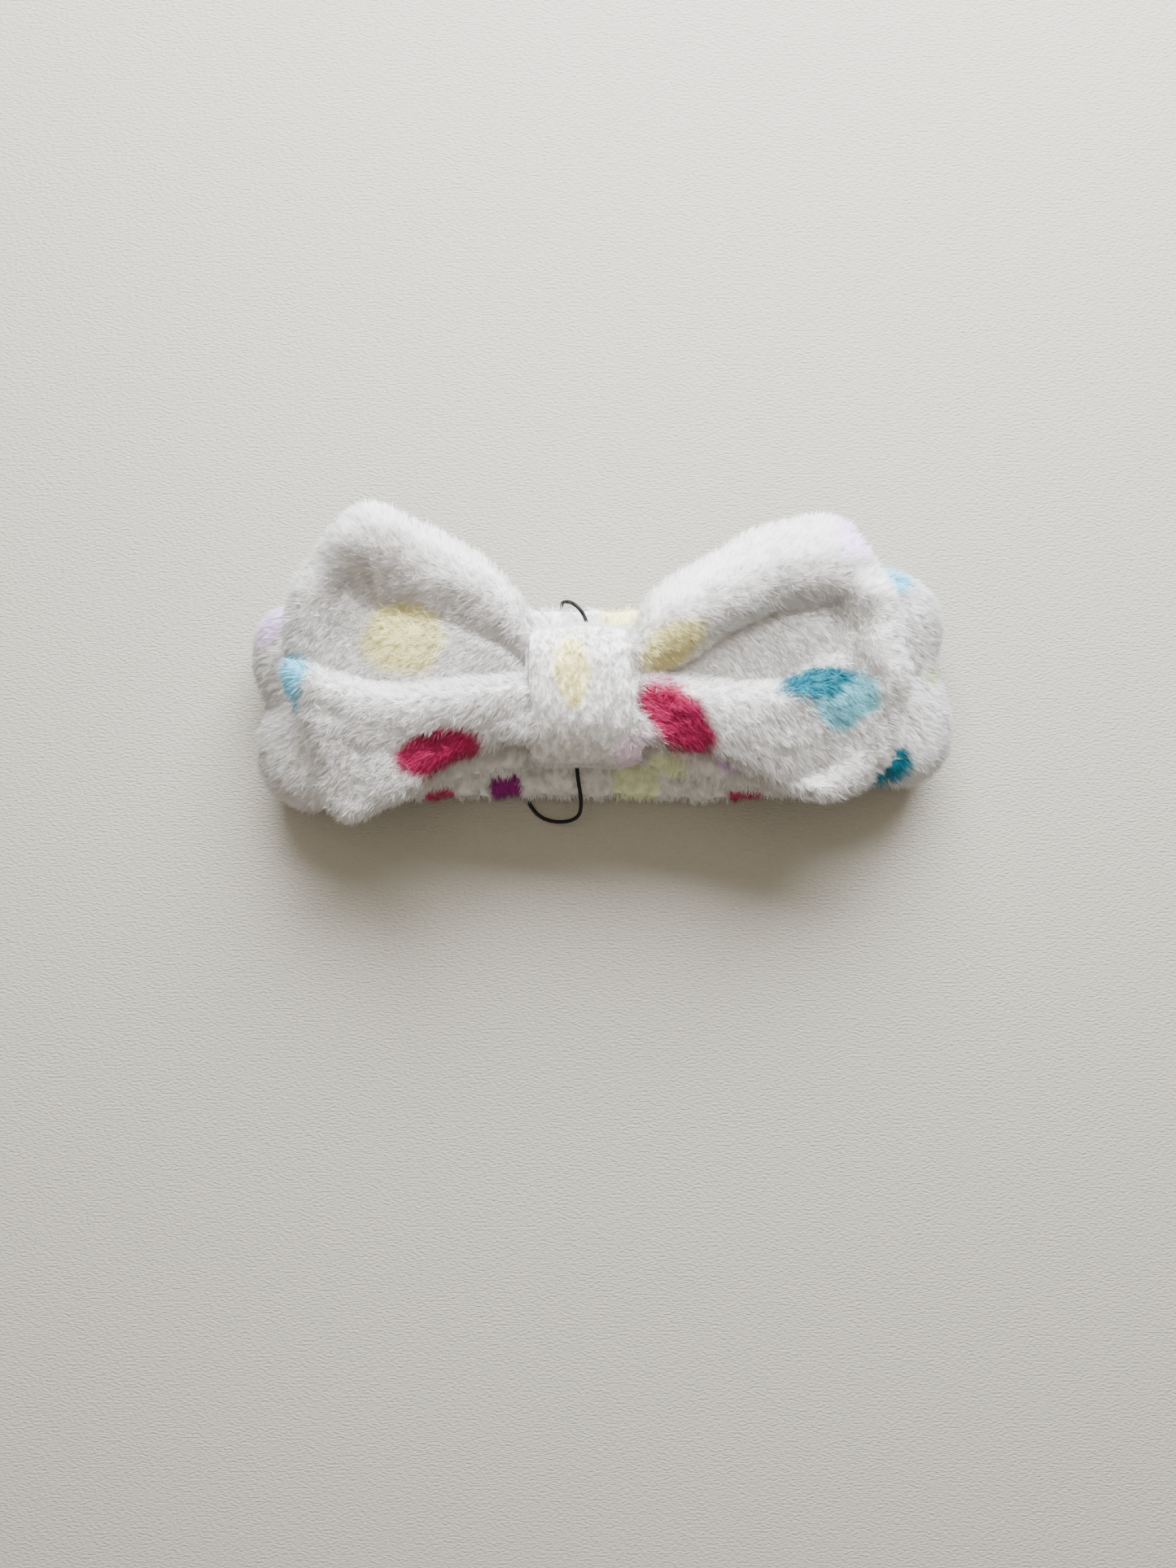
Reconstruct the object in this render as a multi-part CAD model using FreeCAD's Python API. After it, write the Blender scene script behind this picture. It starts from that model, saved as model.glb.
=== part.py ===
"""Plush hair bow on an elasticated wash band: one STEP file per sewn or knotted piece.

Frame: +X along the flat band, +Y across its width, +Z up from the surface it lies on.
The origin is at the bottom centre of the whole outline. All sizes are in millimetres.
The band lies collapsed: the gathered rear casing is underneath, the front casing with
the bow is on top, and the ring between them is open along Y.
"""

import FreeCAD
import Part
import math
import os

os.makedirs("parts", exist_ok=True)
V = FreeCAD.Vector

# ---------------------------------------------------------------- driving dimensions
CLEAR = 0.4  # air between separate pieces of cloth
SEAM_GAP = 0.6  # air between the two cloths of one seam, where its thread runs

# The band, lying flat
BAND_LENGTH = 211.0  # end to end
BAND_WIDTH = 62.0  # across the cloth tube
RIGHT_END_WIDTH = 66.0  # the right end is less creased and spreads wider
BAND_Y = -8.5  # the middle line of the band under the bow
LEFT_SWING = -3.4  # how far the middle line strays at the left end
RIGHT_SWING = 6.8  # and at the right end
REAR_THICK = 12.5  # gathered rear casing
FRONT_THICK = 9.0  # smooth front casing
RING_GAP = 11.5  # open height between the two casings
PRESSED_FLAT = 0.9  # how much the underside is flattened by the surface it lies on
GATHER_PITCH = 11.0  # from one gather to the next
GATHER_DEPTH = 1.6  # how far the valleys between gathers sink

# The elastic inside the rear casing
ELASTIC_WIDTH = 32.0
ELASTIC_THICK = 1.5
ELASTIC_END_MARGIN = 6.0  # from the elastic's end to the end of the rear casing

# The knot that wraps the bow's waist and the front casing
KNOT_X = -5.5  # middle of the knot
KNOT_LENGTH = 34.0  # along X
KNOT_HEIGHT = 42.0  # along Y, outside
KNOT_WALL = 5.0
WAIST_THICK = 12.0  # the gathered middle of the bow
WAIST_GROOVE = 1.2  # how deep the gathering thread pulls in
THREAD = 0.5  # sewing thread, drawn as laid double
GATHER_THREAD = 0.9  # the thicker thread round the waist
GATHER_TURNS = 3

# The wings
WING_THICK = 9.0
WING_EDGE_THICK = 3.0  # at the outermost edge and at the root, which bends there
WING_ROOT_GAP = 1.2  # from the knot's side to a wing
WING_DROP = 4.6  # the heights in the wing stations are counted from this much lower

# The black elastic cord looped round the rear casing
CORD = 1.2
CORD_CLEAR = 0.35  # the nap gives way round the cord by this much
TIE_LENGTH = 4.2
TIE_THICK = 2.6

# ---------------------------------------------------------------- places that follow
rear_top = REAR_THICK
front_low = rear_top + RING_GAP
front_top = front_low + FRONT_THICK
waist_low = front_top + CLEAR
waist_top = waist_low + WAIST_THICK
knot_low = front_low - CLEAR - KNOT_WALL
knot_top = waist_top + CLEAR + KNOT_WALL
knot_left = KNOT_X - KNOT_LENGTH / 2
knot_right = KNOT_X + KNOT_LENGTH / 2
pinch_width = KNOT_HEIGHT - 2 * KNOT_WALL - 2 * CLEAR
fold_mid_radius = (front_top - FRONT_THICK / 2 - REAR_THICK / 2) / 2
fold_z = REAR_THICK / 2 + fold_mid_radius
fold_thick = FRONT_THICK
fold_x = BAND_LENGTH / 2 - fold_mid_radius - fold_thick / 2


def save(shape, name):
    """Writes one node after checking that every solid in it is sound."""
    solids = shape.Solids
    sound = solids and all(s.isValid() and s.Volume > 0 for s in solids)
    if not sound:
        raise ValueError(name + " is not made of sound solids")
    shape.exportStep("parts/" + name + ".step")
    print(f"{name:22s} {len(solids):3d} solids {sum(s.Volume for s in solids) / 1000:8.3f} cm3")
    return shape


def spline(points):
    curve = Part.BSplineCurve()
    curve.interpolate(points)
    return curve.toShape()


def loft(wires):
    """A solid of straight spans through the wires; one that comes out inside out is turned."""
    solid = Part.makeLoft(wires, True, True)
    if solid.Volume < 0:
        solid.reverse()
    return solid


def ease(t):
    """0 to 1 with a level start and end."""
    t = min(1.0, max(0.0, t))
    return t * t * (3 - 2 * t)


# ---------------------------------------------------------------- band cross-sections
def band_y(x):
    """The band's middle line: it swings between the two ends and the bow."""
    swing = RIGHT_SWING if x > KNOT_X else LEFT_SWING
    return BAND_Y + swing * ease(abs(x - KNOT_X) / (fold_x - abs(KNOT_X)))


def band_width(x):
    spread = ease((x - KNOT_X) / (fold_x - KNOT_X))
    return BAND_WIDTH + (RIGHT_END_WIDTH - BAND_WIDTH) * spread


def half_section(x, y_mid, z_flat, width, height, squareness=0.45):
    """A D-shaped wire in the plane at x: flat along z_flat and domed to z_flat + height."""
    steps = 10
    dome = []
    for k in range(steps + 1):
        angle = math.pi * k / steps
        across = math.copysign(abs(math.cos(angle)) ** squareness, math.cos(angle))
        up = abs(math.sin(angle)) ** squareness if 0 < k < steps else 0.0
        dome.append(V(x, y_mid + across * width / 2, z_flat + up * height))
    return Part.Wire([spline(dome), Part.makeLine(dome[-1], dome[0])])


# ---------------------------------------------------------------- rear casing
def rear_stations():
    """Stations along the gathered casing: a crest at each gather and a valley between two."""
    gathers = round(2 * fold_x / GATHER_PITCH)
    pitch = 2 * fold_x / gathers
    for k in range(2 * gathers + 1):
        valley = k % 2 == 0
        yield -fold_x + k * pitch / 2, GATHER_DEPTH if valley else 0.0


def rear_inner_panel():
    """The gathered cloth that faces the head; its top is fluted by the gathers."""
    seam_z = REAR_THICK / 2 + SEAM_GAP / 2
    wires = []
    for x, sink in rear_stations():
        rise = REAR_THICK - seam_z - sink
        wires.append(half_section(x, band_y(x), seam_z, band_width(x) - sink, rise))
    return loft(wires)


def rear_outer_panel():
    """The gathered cloth that lies on the table, flat below and fluted along its edges."""
    seam_z = REAR_THICK / 2 - SEAM_GAP / 2
    depth = seam_z + PRESSED_FLAT
    wires = []
    for x, sink in rear_stations():
        wires.append(half_section(x, band_y(x), seam_z, band_width(x) - sink, -depth))
    above = Part.makeBox(2 * BAND_LENGTH, 4 * BAND_WIDTH, REAR_THICK)
    above.translate(V(-BAND_LENGTH, -2 * BAND_WIDTH, 0))
    return loft(wires).common(above)


def elastic_room(clear):
    """The flat slot that the elastic fills, grown by clear all round."""
    length = 2 * (fold_x - ELASTIC_END_MARGIN)
    room = Part.makeBox(
        length + 2 * clear, ELASTIC_WIDTH + 2 * clear, ELASTIC_THICK + 2 * clear
    )
    room.translate(
        V(
            -length / 2 - clear,
            BAND_Y - ELASTIC_WIDTH / 2 - clear,
            REAR_THICK / 2 - ELASTIC_THICK / 2 - clear,
        )
    )
    return room


def elastic_tacks():
    """Bar tacks across each end of the elastic, half sunk into it."""
    bars = []
    tack_z = REAR_THICK / 2 + ELASTIC_THICK / 2
    bar_length = ELASTIC_WIDTH * 0.75
    for side in (-1, 1):
        for row in range(3):
            x = side * (fold_x - ELASTIC_END_MARGIN - 3 - 2.5 * row)
            bars.append(
                Part.makeCylinder(
                    THREAD / 2, bar_length, V(x, BAND_Y - bar_length / 2, tack_z), V(0, 1, 0)
                )
            )
    return Part.makeCompound(bars)


def stitch_row(x, y_from, y_to, z, length, count):
    """A row of stitches across the band; each lies along X, sunk half its length each way."""
    stitches = []
    for k in range(count):
        y = y_from + (y_to - y_from) * (k + 0.5) / count
        stitches.append(
            Part.makeCylinder(THREAD / 2, length, V(x - length / 2, y, z), V(1, 0, 0))
        )
    return stitches


# ---------------------------------------------------------------- side folds
def side_fold(side):
    """The band's end, where the cloth tube turns back on itself. It is a half turn about Y."""
    x = side * (fold_x + CLEAR)
    width = band_width(x)
    y_mid = band_y(x)
    section = []
    steps = 20
    for k in range(steps):
        angle = 2 * math.pi * k / steps
        across = math.copysign(abs(math.cos(angle)) ** 0.5, math.cos(angle))
        up = math.copysign(abs(math.sin(angle)) ** 0.7, math.sin(angle))
        section.append(
            V(x, y_mid + across * width / 2, fold_z + fold_mid_radius + up * fold_thick / 2)
        )
    curve = Part.BSplineCurve()
    curve.interpolate(section, PeriodicFlag=True)
    face = Part.Face(Part.Wire(curve.toShape()))
    fold = face.revolve(V(x, 0, fold_z), V(0, 1, 0), 180.0 * side)
    if fold.Volume < 0:
        fold.reverse()
    return fold.Solids[0]


# ---------------------------------------------------------------- front casing
def front_stations():
    """(x, width) along the front casing: full width at the ends, pinched inside the knot."""
    pinch = pinch_width - 4 * CLEAR
    left, right = knot_left - 1.5, knot_right + 1.5
    return [
        (-fold_x, band_width(-fold_x)),
        (-fold_x * 0.72, band_width(-fold_x)),
        (left - 30, BAND_WIDTH - 1),
        (left - 14, BAND_WIDTH - 9),
        (left - 5, pinch + 9),
        (left, pinch),
        (KNOT_X, pinch),
        (right, pinch),
        (right + 5, pinch + 9),
        (right + 14, BAND_WIDTH - 9),
        (right + 30, BAND_WIDTH - 1),
        (fold_x * 0.8, band_width(fold_x * 0.8)),
        (fold_x, band_width(fold_x)),
    ]


def front_panel(side):
    """One cloth of the front casing: side 1 is the outer cloth and -1 the one at the head."""
    seam_z = front_low + FRONT_THICK / 2 + side * SEAM_GAP / 2
    height = side * (FRONT_THICK - SEAM_GAP) / 2
    return loft(
        [half_section(x, band_y(x), seam_z, width, height) for x, width in front_stations()]
    )


# ---------------------------------------------------------------- knot and waist
def rounded_box_section(x, y_half, z_low, z_high, radius):
    """A closed rounded-rectangle wire in the plane at x, about the band's middle line."""
    y0, y1 = BAND_Y - y_half, BAND_Y + y_half
    box = Part.makePolygon(
        [V(x, y0, z_low), V(x, y1, z_low), V(x, y1, z_high), V(x, y0, z_high), V(x, y0, z_low)]
    )
    corner = Part.makeBox(1, y1 - y0, z_high - z_low)
    corner.translate(V(x, y0, z_low))
    along_x = [e for e in corner.Edges if abs(e.tangentAt(e.FirstParameter).x) > 0.99]
    rounded = corner.makeFillet(min(radius, y_half * 0.95, (z_high - z_low) * 0.48), along_x)
    for face in rounded.Faces:
        middle = face.CenterOfMass
        if abs(middle.x - x) < 1e-6 and abs(face.normalAt(0, 0).x) > 0.99:
            return face.OuterWire
    return Part.Wire(box.Edges)


def knot_wrap():
    """The short cloth loop round the waist and the front casing, swollen along its middle."""
    end_round = 1.6
    stations = [
        (knot_left, end_round),
        (knot_left + 1.8, 0.35),
        (KNOT_X, 0.0),
        (knot_right - 1.8, 0.35),
        (knot_right, end_round),
    ]
    outer = loft(
        [
            rounded_box_section(
                x, KNOT_HEIGHT / 2 - draw_in, knot_low + draw_in, knot_top - draw_in, 11.0
            )
            for x, draw_in in stations
        ]
    )
    hole = Part.Face(
        rounded_box_section(
            knot_left - 1,
            KNOT_HEIGHT / 2 - KNOT_WALL,
            knot_low + KNOT_WALL,
            knot_top - KNOT_WALL,
            2.0,
        )
    ).extrude(V(KNOT_LENGTH + 2, 0, 0))
    return outer.cut(hole)


def knot_stitches():
    """The tacks that close the wrap underneath, half sunk into its lower wall."""
    count = 7
    tack = 3.0
    tack_z = knot_low + THREAD / 2
    tacks = []
    for k in range(count):
        x = knot_left + KNOT_LENGTH * (k + 0.5) / count
        tacks.append(
            Part.makeCylinder(THREAD / 2, tack, V(x, BAND_Y - tack / 2, tack_z), V(0, 1, 0))
        )
    return Part.makeCompound(tacks)


def waist_wire(x, draw_in):
    """The waist's rounded outline at x, drawn in all round."""
    return rounded_box_section(
        x, pinch_width / 2 - draw_in, waist_low + draw_in, waist_top - draw_in, 4.0
    )


def bow_waist():
    """The gathered middle of the bow, nipped in by the thread at the knot's centre."""
    reach = GATHER_TURNS * GATHER_THREAD / 2 + 0.4
    side = KNOT_LENGTH / 2
    stations = [
        (-side, 0.2),
        (-side * 0.5, 0.2),
        (-reach, WAIST_GROOVE),
        (reach, WAIST_GROOVE),
        (side * 0.5, 0.2),
        (side, 0.2),
    ]
    wires = [waist_wire(KNOT_X + x, draw_in) for x, draw_in in stations]
    return loft(wires)


def waist_thread():
    """Turns of thread laid side by side in the waist's groove."""
    turns = []
    for k in range(GATHER_TURNS):
        x = KNOT_X + (k - (GATHER_TURNS - 1) / 2) * (GATHER_THREAD + 0.05)
        path = waist_wire(x, WAIST_GROOVE - GATHER_THREAD / 2 - 0.05)
        start = path.Edges[0]
        at = start.valueAt(start.FirstParameter)
        along = start.tangentAt(start.FirstParameter)
        ring = Part.Wire(Part.makeCircle(GATHER_THREAD / 2, at, along))
        turn = path.makePipeShell([ring], True, False)
        if turn.Volume < 0:
            turn.reverse()
        turns.append(turn)
    return Part.makeCompound(turns)


# ---------------------------------------------------------------- wings
# Each station is (distance out from the root, lower edge and upper edge from the band's
# middle line, heights of the cloth's middle at equal steps from the lower edge to the upper).
# The heights run: hanging lower edge, valley, ridge, dish, dish, slope, rim.
LEFT_WING = [
    (0.0, -12.0, 17.0, (8, 8, 8, 8, 8, 8, 8)),
    (9.0, -14.5, 33.0, (6, 8, 10.5, 8, 8, 10, 12)),
    (19.0, -17.5, 43.0, (5, 7.5, 12.5, 8, 8, 11, 15)),
    (29.0, -27.5, 49.0, (4, 8, 13, 8, 8, 12, 17)),
    (38.0, -33.0, 52.5, (3.5, 7.5, 13, 8, 8, 12, 18)),
    (43.0, -35.5, 54.0, (3.5, 7.5, 13, 8, 8, 12, 18.5)),
    (49.0, -37.0, 49.0, (3.5, 7.5, 12, 8, 8, 12, 18)),
    (57.0, -30.0, 41.0, (5, 8.5, 11, 9, 9, 12, 16)),
    (63.0, -10.0, 34.0, (8, 10, 10.5, 10, 10.5, 12, 14)),
    (68.5, 4.0, 20.0, (11, 11, 11, 11, 11.5, 12, 12)),
]
RIGHT_WING = [
    (0.0, -12.0, 17.0, (8, 8, 8, 8, 8, 8, 8)),
    (10.0, -15.0, 33.0, (6, 8.5, 10.5, 8, 8, 10, 12)),
    (21.0, -17.5, 40.5, (5, 8, 12, 8.5, 8.5, 11, 15)),
    (32.0, -25.0, 46.0, (4, 7.5, 12.5, 9, 9, 11, 17)),
    (41.0, -30.0, 48.5, (3, 7, 12, 9.5, 9, 12, 18.5)),
    (50.0, -32.0, 49.5, (2.5, 7, 12, 10, 9.5, 13, 19)),
    (58.0, -29.5, 43.0, (4, 8, 12, 11, 10, 13, 17)),
    (65.0, -24.0, 34.0, (7, 10, 12, 12, 11, 13, 15)),
    (71.0, -15.0, 22.0, (10, 12, 12.5, 12.5, 12, 12.5, 13)),
    (74.0, -8.0, 8.0, (11, 12, 12.5, 12.5, 12.5, 12.5, 12)),
]


def wing_thickness(stations, station):
    """A wing is thin at its root and at its outermost edge."""
    at_end = station is stations[0] or station is stations[-1]
    return WING_EDGE_THICK if at_end else WING_THICK


def wing_line(station, side):
    """The middle of a wing's cloth at one station, from the lower edge to the upper one."""
    reach, y_low, y_high, heights = station
    start = (knot_left - WING_ROOT_GAP) if side < 0 else (knot_right + WING_ROOT_GAP)
    base = front_top + CLEAR + WING_THICK / 2 - WING_DROP
    steps = len(heights) - 1
    return [
        V(start + side * reach, BAND_Y + y_low + (y_high - y_low) * k / steps, base + height)
        for k, height in enumerate(heights)
    ]


def wing_panel(stations, side, face):
    """One cloth of a wing: face 1 is the side that shows and -1 the side at the band."""
    wires = []
    for station in stations:
        inner = [p + V(0, 0, face * SEAM_GAP / 2) for p in wing_line(station, side)]
        swell = face * (wing_thickness(stations, station) - SEAM_GAP) / 2
        rim = min(2.0, (inner[-1].y - inner[0].y) / 8)
        outer = [inner[0], inner[0] + V(0, rim * 0.4, swell * 0.62)]
        outer += [p + V(0, 0, swell) for p in inner[1:-1]]
        outer += [inner[-1] + V(0, -rim * 0.4, swell * 0.62), inner[-1]]
        wires.append(Part.Wire([spline(outer), spline(list(reversed(inner)))]))
    return loft(wires)


def wing_seam(stations, side):
    """The sewing thread between the two cloths, one row inside each long edge."""
    inset = 0.09  # from the edge, as a share of the width
    stitch_pitch = 4.0
    stitches = []
    for share in (inset, 1 - inset):
        row = []
        for station in stations:
            middle = spline(wing_line(station, side))
            row.append(middle.valueAt(share * middle.LastParameter))
        for a, b in zip(row, row[1:]):
            step = b - a
            count = max(1, int(step.Length / stitch_pitch))
            length = step.Length / count * 0.7
            for n in range(count):
                start = a + step * ((n + 0.15) / count)
                stitches.append(Part.makeCylinder(THREAD / 2, length, start, step))
    return Part.makeCompound(stitches)


# ---------------------------------------------------------------- cord
cord_top = rear_top + CORD / 2 + 0.1
cord_low = CORD / 2 + 0.15
tie_middle = V(-6.8, -5.2, cord_top + 0.5)
# From the tie, over the lower edge, down in a loose loop to the table, under the casing,
# up round the upper edge and back to the tie.
CORD_ROUTE = [
    tie_middle + V(-0.2, -TIE_LENGTH / 2, 0),
    V(-7.5, -14.0, cord_top),
    V(-8.6, -22.5, cord_top - 0.1),
    V(-8.0, -31.5, cord_top),
    V(-6.6, -39.6, cord_top - 1.2),
    V(-7.6, -45.0, cord_top - 6.8),
    V(-14.2, -46.6, 2.2),
    V(-21.0, -44.6, cord_low),
    V(-25.2, -37.6, cord_low + 0.1),
    V(-24.0, -27.0, cord_low),
    V(-20.6, -12.0, cord_low),
    V(-17.4, 2.0, cord_low + 0.1),
    V(-14.8, 13.4, cord_low),
    V(-13.4, 23.0, cord_low + 0.2),
    V(-12.6, 23.5, 9.8),
    V(-8.8, 22.2, cord_top + 1.2),
    V(-5.2, 17.8, cord_top + 0.2),
    V(-4.3, 10.4, cord_top),
    V(-5.6, 3.4, cord_top + 0.4),
    tie_middle + V(0.2, TIE_LENGTH / 2, 0),
]


def cord_path(points, report=False):
    """Straight runs joined by tangent arcs, each as large as its two runs allow."""
    edges = []
    at = points[0]
    for a, b, c in zip(points, points[1:], points[2:]):
        back, ahead = (a - b), (c - b)
        shorter = min(back.Length, ahead.Length)
        back.normalize()
        ahead.normalize()
        turn = math.pi - back.getAngle(ahead)
        reach = 0.45 * shorter
        start, end = b + back * reach, b + ahead * reach
        radius = reach / math.tan(turn / 2)
        if report:
            print(f"cord turn {math.degrees(turn):5.1f} deg, radius {radius:6.1f} mm")
        half = back + ahead
        half.normalize()
        centre_off = radius / math.cos(turn / 2)
        middle = b + half * (centre_off - radius)
        edges.append(Part.LineSegment(at, start).toShape())
        edges.append(Part.Arc(start, middle, end).toShape())
        at = end
    edges.append(Part.LineSegment(at, points[-1]).toShape())
    return Part.Wire(edges)


def cord_tube(points, diameter):
    path = cord_path(points)
    first = path.Edges[0]
    direction = first.tangentAt(first.FirstParameter)
    ring = Part.Wire(Part.makeCircle(diameter / 2, points[0], direction))
    tube = path.makePipeShell([ring], True, False)
    if tube.Volume < 0:
        tube.reverse()
    return tube


def cord_tie():
    """The overhand tie that closes the loop: a short fat barrel between the cord's two ends."""
    a, b = CORD_ROUTE[0], CORD_ROUTE[-1]
    along = a - b
    along.normalize()
    gap = (a - b).Length
    barrel = Part.makeCylinder(TIE_THICK / 2, gap, b, along)
    return barrel.makeFillet(0.7, [e for e in barrel.Edges if len(e.Vertexes) == 1])


# ---------------------------------------------------------------- building
def build():
    cord = cord_tube(CORD_ROUTE, CORD)
    nap_room = cord_tube(CORD_ROUTE, CORD + 2 * CORD_CLEAR)
    length = cord_path(CORD_ROUTE, report=True).Length
    print(f"cord length {length:.1f} mm, volume ratio "
          f"{cord.Volume / (math.pi * CORD**2 / 4 * length):.3f}")
    tie = cord_tie()
    tie_room = Part.makeSphere(TIE_LENGTH * 0.75, tie_middle)

    slot = elastic_room(CLEAR)
    tacks = elastic_tacks()
    save(rear_outer_panel().cut(slot).cut(nap_room), "rear_casing_outer")
    save(rear_inner_panel().cut(slot).cut(nap_room).cut(tie_room), "rear_casing_inner")
    save(elastic_room(0.0), "elastic_strip")
    save(tacks, "elastic_tacks")
    rows = []
    for side in (-1, 1):
        x = side * (fold_x - 2.0)
        half = band_width(x) / 2 - 6
        rows += stitch_row(x, band_y(x) - half, band_y(x) + half, REAR_THICK / 2, 2.5, 12)
    save(Part.makeCompound(rows), "rear_end_stitches")
    save(side_fold(-1), "side_fold_left")
    save(side_fold(1), "side_fold_right")
    save(cord, "hang_cord")
    save(tie, "hang_cord_tie")

    save(front_panel(1), "front_casing_outer")
    save(front_panel(-1), "front_casing_inner")
    rows = []
    for side in (-1, 1):
        x = side * (fold_x - 2.0)
        half = band_width(x) / 2 - 6
        z = front_low + FRONT_THICK / 2
        rows += stitch_row(x, band_y(x) - half, band_y(x) + half, z, 2.5, 12)
    save(Part.makeCompound(rows), "front_end_stitches")
    save(knot_wrap(), "knot_wrap")
    save(knot_stitches(), "knot_stitches")
    save(bow_waist(), "bow_waist")
    save(waist_thread(), "waist_thread")

    for stations, side, name in ((LEFT_WING, -1, "left"), (RIGHT_WING, 1, "right")):
        save(wing_panel(stations, side, 1), f"wing_{name}_front")
        save(wing_panel(stations, side, -1), f"wing_{name}_back")
        save(wing_seam(stations, side), f"wing_{name}_seam")


build()
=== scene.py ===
"""A plush hair bow on an elasticated wash band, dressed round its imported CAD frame."""

import math

import bmesh
import bpy
import numpy as np
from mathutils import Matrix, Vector


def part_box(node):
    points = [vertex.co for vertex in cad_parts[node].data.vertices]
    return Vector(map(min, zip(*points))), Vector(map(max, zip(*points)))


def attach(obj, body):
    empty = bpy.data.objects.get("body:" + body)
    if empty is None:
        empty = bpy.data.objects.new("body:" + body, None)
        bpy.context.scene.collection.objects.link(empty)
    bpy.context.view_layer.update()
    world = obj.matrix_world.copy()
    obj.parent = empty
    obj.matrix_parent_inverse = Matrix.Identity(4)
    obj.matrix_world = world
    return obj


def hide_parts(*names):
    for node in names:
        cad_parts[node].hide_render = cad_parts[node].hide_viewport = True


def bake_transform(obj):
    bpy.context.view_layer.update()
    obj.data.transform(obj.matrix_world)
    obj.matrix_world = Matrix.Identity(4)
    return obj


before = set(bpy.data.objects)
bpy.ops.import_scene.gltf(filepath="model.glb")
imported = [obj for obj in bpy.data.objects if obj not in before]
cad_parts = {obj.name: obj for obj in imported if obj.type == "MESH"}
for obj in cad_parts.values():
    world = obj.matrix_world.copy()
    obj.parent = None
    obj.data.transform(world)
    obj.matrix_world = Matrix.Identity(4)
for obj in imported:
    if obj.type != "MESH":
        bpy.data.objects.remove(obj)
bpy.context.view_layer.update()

# ------------------------------------------------------------------ camera, floor and light
# The band is seen from straight above, from a hand's height over a pale embossed table top.
# Daylight comes low from a window beyond the bow; the room gives a weak warm fill.
MM = 0.001
wrap_low, wrap_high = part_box("knot_wrap")
KNOT = Vector(((wrap_low[0] + wrap_high[0]) / 2, (wrap_low[1] + wrap_high[1]) / 2, 0.0))
EYE_HEIGHT = 380 * MM
EYE_OFFSET = Vector((0.8, -25.5, 0.0)) * MM


def linear(hex_colour):
    """An sRGB hex colour as the linear colour that a shader takes."""
    channels = [int(hex_colour[k:k + 2], 16) / 255 for k in (1, 3, 5)]
    return [c / 12.92 if c <= 0.04045 else ((c + 0.055) / 1.055) ** 2.4 for c in channels]


def add(tree, kind, values=(), feeds=(), **settings):
    """Adds one node with its settings, its sockets' values and the links that feed it."""
    made = tree.nodes.new(kind)
    for name, value in settings.items():
        setattr(made, name, value)
    for socket, value in dict(values).items():
        made.inputs[socket].default_value = value
    for socket, source in dict(feeds).items():
        tree.links.new(source, made.inputs[socket])
    return made


def material(name):
    """A new node material with only its output, and its tree."""
    made = bpy.data.materials.new(name)
    made.use_nodes = True
    made.node_tree.nodes.clear()
    return made, made.node_tree


def add_object(name, data, *materials):
    made = bpy.data.objects.new(name, data)
    bpy.context.scene.collection.objects.link(made)
    for each in materials:
        data.materials.append(each)
    return made


camera_data = bpy.data.cameras.new("camera")
camera_data.lens = 27.04
camera_data.sensor_width = 36
camera_data.clip_start = 0.01
camera = add_object("camera", camera_data)
camera.location = KNOT + EYE_OFFSET + Vector((0, 0, EYE_HEIGHT))
bpy.context.scene.camera = camera

# Embossed vinyl table top: calendered with a fine leather grain, so it has a dull satin face.
GRAIN = 1 / 0.7  # mm, one cell of the grain along X
vinyl, tree = material("embossed_vinyl")
place = add(tree, "ShaderNodeTexCoord")
stretch = add(tree, "ShaderNodeMapping", {"Scale": (1.0, 2.2, 1.0)},
              {"Vector": place.outputs["Object"]})
grain = add(tree, "ShaderNodeTexNoise", {"Scale": 1 / (GRAIN * MM), "Detail": 3.0, "Roughness": 0.55},
            {"Vector": stretch.outputs["Vector"]})
emboss = add(tree, "ShaderNodeBump", {"Strength": 0.8, "Distance": 0.0008},
             {"Height": grain.outputs["Fac"]})
surface = add(tree, "ShaderNodeBsdfPrincipled",
              {"Base Color": (*linear("#8b8576"), 1), "Roughness": 0.62},
              {"Normal": emboss.outputs["Normal"]})
add(tree, "ShaderNodeOutputMaterial", feeds={"Surface": surface.outputs["BSDF"]})
bm = bmesh.new()
bmesh.ops.create_grid(bm, x_segments=1, y_segments=1, size=1.6)
floor_mesh = bpy.data.meshes.new("table_top")
bm.to_mesh(floor_mesh)
bm.free()
add_object("table_top", floor_mesh, vinyl)


def area_light(name, place, target, size, watts, colour):
    light = bpy.data.lights.new(name, "AREA")
    light.shape = "RECTANGLE"
    light.size, light.size_y = size
    light.energy = watts
    light.color = linear(colour)
    lamp = add_object(name, light)
    lamp.location = place
    lamp.rotation_euler = (Vector(target) - Vector(place)).to_track_quat("-Z", "Y").to_euler()


area_light("window", (0.085, 0.62, 0.49), (0, 0.06, 0), (0.75, 0.47), 67, "#ebf2ff")
area_light("ceiling", (0.0, 0.25, 1.5), (0, 0, 0), (1.6, 1.2), 12, "#fff3e4")
world = bpy.data.worlds.new("room")
world.use_nodes = True
world.node_tree.nodes["Background"].inputs["Color"].default_value = (*linear("#e9e6e0"), 1)
world.node_tree.nodes["Background"].inputs["Strength"].default_value = 0.66
bpy.context.scene.world = world

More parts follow.
